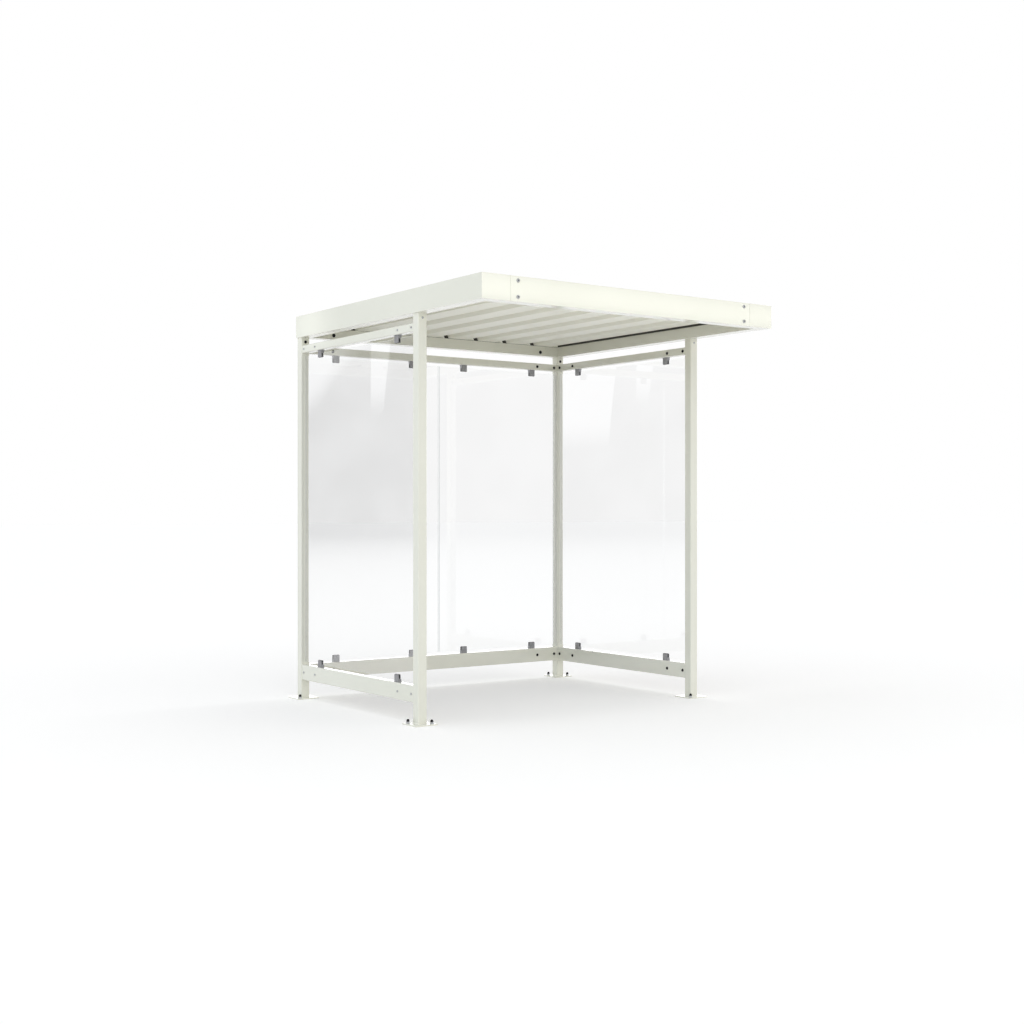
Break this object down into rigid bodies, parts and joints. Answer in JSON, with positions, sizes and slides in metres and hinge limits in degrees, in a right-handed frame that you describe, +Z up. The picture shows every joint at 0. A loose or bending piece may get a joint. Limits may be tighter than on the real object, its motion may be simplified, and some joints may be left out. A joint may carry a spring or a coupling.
{
  "type": "open-fronted smoking shelter",
  "caption": "Free-standing shelter with square posts, clamped glass on the left, back and right, an open front and a flat folded-steel roof with a trapezoidal deck.",
  "frame": {"origin": "on the floor, at the centre of the shelter's overall plan box", "axes": "+Z up; the open front faces -Y; +X is the right side seen from the front"},
  "size_m": [2.27, 2.23, 2.525],
  "materials": {
    "painted_steel": "pure white powder coat, satin",
    "clear_glass": "clear toughened glass, polished edges",
    "clamp_metal": "grey die-cast metal, satin",
    "deck_steel": "pale coated trapezoidal sheet",
    "galvanised_steel": "galvanised, dull"
  },
  "bodies": {
    "root": {"post_front_left": "painted_steel", "post_front_right": "painted_steel", "post_back_left": "painted_steel", "post_back_right": "painted_steel", "foot_plate_front_left": "painted_steel", "foot_plate_front_right": "painted_steel", "foot_plate_back_left": "painted_steel", "foot_plate_back_right": "painted_steel", "bottom_rail_left": "painted_steel", "bottom_rail_back": "painted_steel", "bottom_rail_right": "painted_steel", "top_rail_left": "painted_steel", "top_rail_back": "painted_steel", "top_rail_right": "painted_steel", "pane_left": "clear_glass", "pane_back_left": "clear_glass", "pane_back_right": "clear_glass", "pane_right": "clear_glass", "clamp_left_front_bottom": "clamp_metal", "clamp_left_front_top": "clamp_metal", "clamp_left_rear_bottom": "clamp_metal", "clamp_left_rear_top": "clamp_metal", "clamp_right_front_bottom": "clamp_metal", "clamp_right_front_top": "clamp_metal", "clamp_right_rear_bottom": "clamp_metal", "clamp_right_rear_top": "clamp_metal", "clamp_back_far_left_bottom": "clamp_metal", "clamp_back_far_left_top": "clamp_metal", "clamp_back_mid_left_bottom": "clamp_metal", "clamp_back_mid_left_top": "clamp_metal", "clamp_back_mid_right_bottom": "clamp_metal", "clamp_back_mid_right_top": "clamp_metal", "clamp_back_far_right_bottom": "clamp_metal", "clamp_back_far_right_top": "clamp_metal", "roof_beam_left": "painted_steel", "roof_beam_right": "painted_steel", "roof_beam_front": "painted_steel", "roof_beam_back": "painted_steel", "deck_left": "deck_steel", "deck_right": "deck_steel", "spigot_front_left": "galvanised_steel", "spigot_front_right": "galvanised_steel", "spigot_back_left": "galvanised_steel", "spigot_back_right": "galvanised_steel"}
  },
  "joints": []
}
